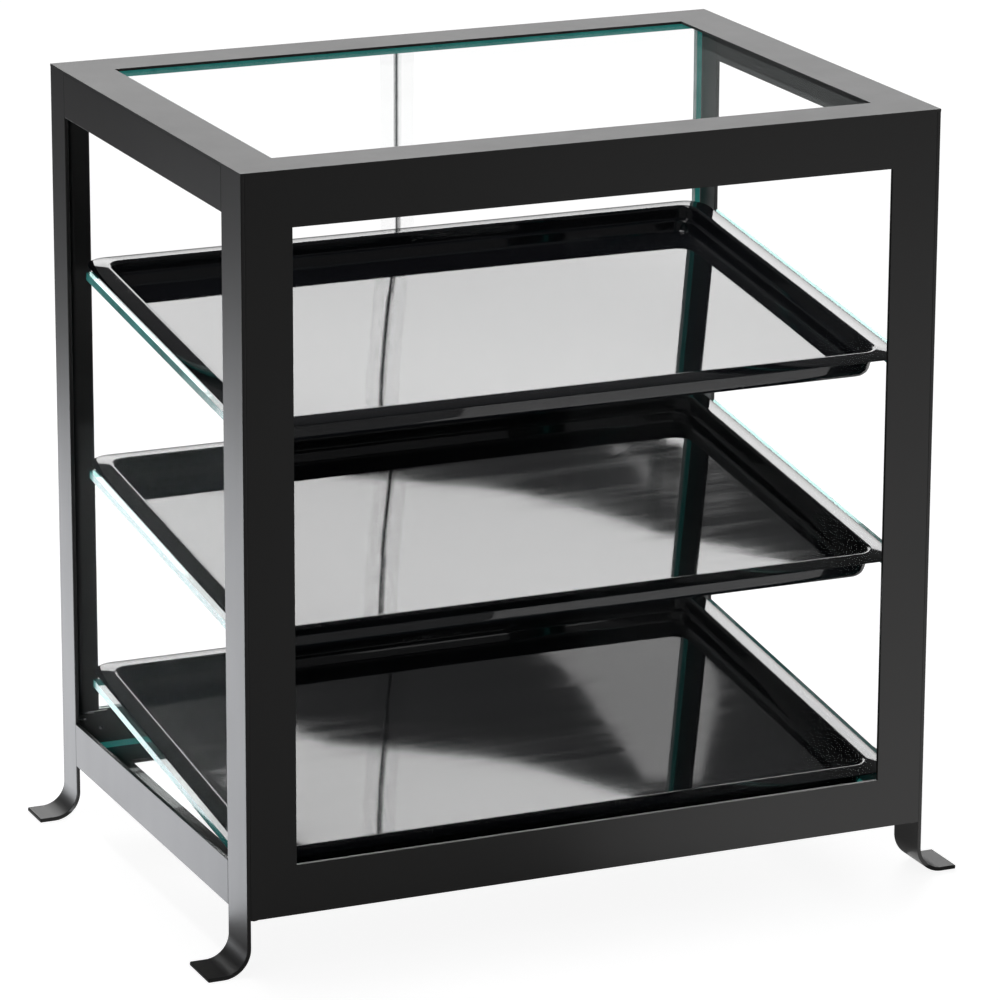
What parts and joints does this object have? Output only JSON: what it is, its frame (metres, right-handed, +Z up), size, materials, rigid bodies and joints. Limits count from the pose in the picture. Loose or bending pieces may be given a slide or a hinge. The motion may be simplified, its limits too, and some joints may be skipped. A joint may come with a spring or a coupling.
{
  "type": "bakery display case",
  "caption": "Countertop pastry display case: glazed box in a dark flat-bar steel frame on curled feet, with sloping trays on glass runners and a folding rear door.",
  "frame": {"origin": "centre of the bounding box at table level, under the feet", "axes": "+X toward the case's right side as seen from the front, +Y from the front pane toward the rear door, +Z up"},
  "size_m": [0.6, 0.404, 0.586],
  "materials": {
    "steel": "satin black powder coat",
    "glass": "clear float glass with ground teal edges",
    "clear": "clear sheet with polished edges",
    "tray": "glossy black",
    "zinc": "bright zinc plate",
    "plastic": "moulded"
  },
  "bodies": {
    "case": {"bottom_front_flange": "steel", "bottom_pane": "glass", "bottom_rear_flange": "steel", "catch_body": "plastic", "catch_bracket": "steel", "catch_magnet": "zinc", "catch_screw_inner": "zinc", "catch_screw_outer": "zinc", "door_stop_strip": "glass", "front_bottom_rail": "steel", "front_left_leg": "steel", "front_pane": "glass", "front_right_leg": "steel", "front_top_rail": "steel", "left_bottom_side_flange": "steel", "left_door_bumper": "clear", "left_front_stile": "steel", "left_side_bottom_rail": "steel", "left_side_pane": "glass", "left_side_top_rail": "steel", "left_top_side_flange": "steel", "lower_left_runner": "glass", "lower_pivot_bracket": "steel", "lower_pivot_pin": "zinc", "lower_right_runner": "glass", "middle_left_runner": "glass", "middle_right_runner": "glass", "pivot_screw_inner": "zinc", "pivot_screw_outer": "zinc", "pivot_washer": "plastic", "rear_bottom_rail": "steel", "rear_left_leg": "steel", "rear_right_leg": "steel", "right_bottom_side_flange": "steel", "right_door_bumper": "clear", "right_front_stile": "steel", "right_side_bottom_rail": "steel", "right_side_pane": "glass", "right_side_top_rail": "steel", "right_top_side_flange": "steel", "top_front_flange": "steel", "top_pane": "glass", "top_rear_flange": "steel", "upper_left_runner": "glass", "upper_pivot_block": "steel", "upper_pivot_pin": "zinc", "upper_right_runner": "glass"},
    "door_inner": {"door_hinge_stile": "steel", "door_inner_leaf": "clear", "fold_hinge_inner_half": "clear", "fold_hinge_pin": "zinc"},
    "door_outer": {"door_outer_leaf": "clear", "fold_hinge_outer_half": "clear", "door_pull": "clear", "door_strike": "zinc"},
    "tray_lower": {"lower_tray": "tray"},
    "tray_middle": {"middle_tray": "tray"},
    "tray_upper": {"upper_tray": "tray"}
  },
  "joints": [
    {"name": "door_pivot", "type": "hinge", "parent": "case", "child": "door_inner", "pos_m": [-0.2565, 0.1855, 0.078], "axis": [0, 0, 1], "range_deg": [0, 95]},
    {"name": "door_fold", "type": "hinge", "parent": "door_inner", "child": "door_outer", "pos_m": [0.00825, 0.1893, 0.078], "axis": [0, 0, 1], "range_deg": [0, 170]},
    {"name": "lower_tray_slide", "type": "slide", "parent": "case", "child": "tray_lower", "axis": [0, 0.9925, 0.1219], "range_m": [0, 0.012]},
    {"name": "middle_tray_slide", "type": "slide", "parent": "case", "child": "tray_middle", "axis": [0, 0.9925, 0.1219], "range_m": [0, 0.012]},
    {"name": "upper_tray_slide", "type": "slide", "parent": "case", "child": "tray_upper", "axis": [0, 0.9925, 0.1219], "range_m": [0, 0.012]}
  ]
}
